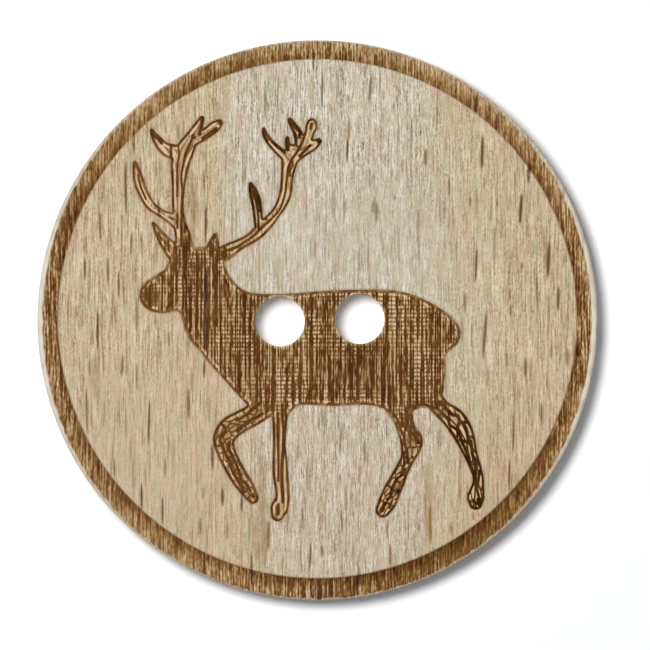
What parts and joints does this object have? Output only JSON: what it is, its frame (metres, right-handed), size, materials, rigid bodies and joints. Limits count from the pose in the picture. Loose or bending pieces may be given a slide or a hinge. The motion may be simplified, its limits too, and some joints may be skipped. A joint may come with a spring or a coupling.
{
  "type": "wooden sewing button",
  "caption": "Flat round wooden sewing button with a pair of thread holes, a burnt ring near the rim and a walking stag burnt into its front face.",
  "frame": {"origin": "centre of the flat back face", "axes": "+Z out of the burnt front face, +Y along the grain toward the antlers, +X along the row of holes toward the stag's tail"},
  "size_m": [0.028, 0.028, 0.003],
  "materials": {
    "beech": "sanded bare, with brown burnt drawing"
  },
  "bodies": {
    "root": {"button": "beech"}
  },
  "joints": []
}
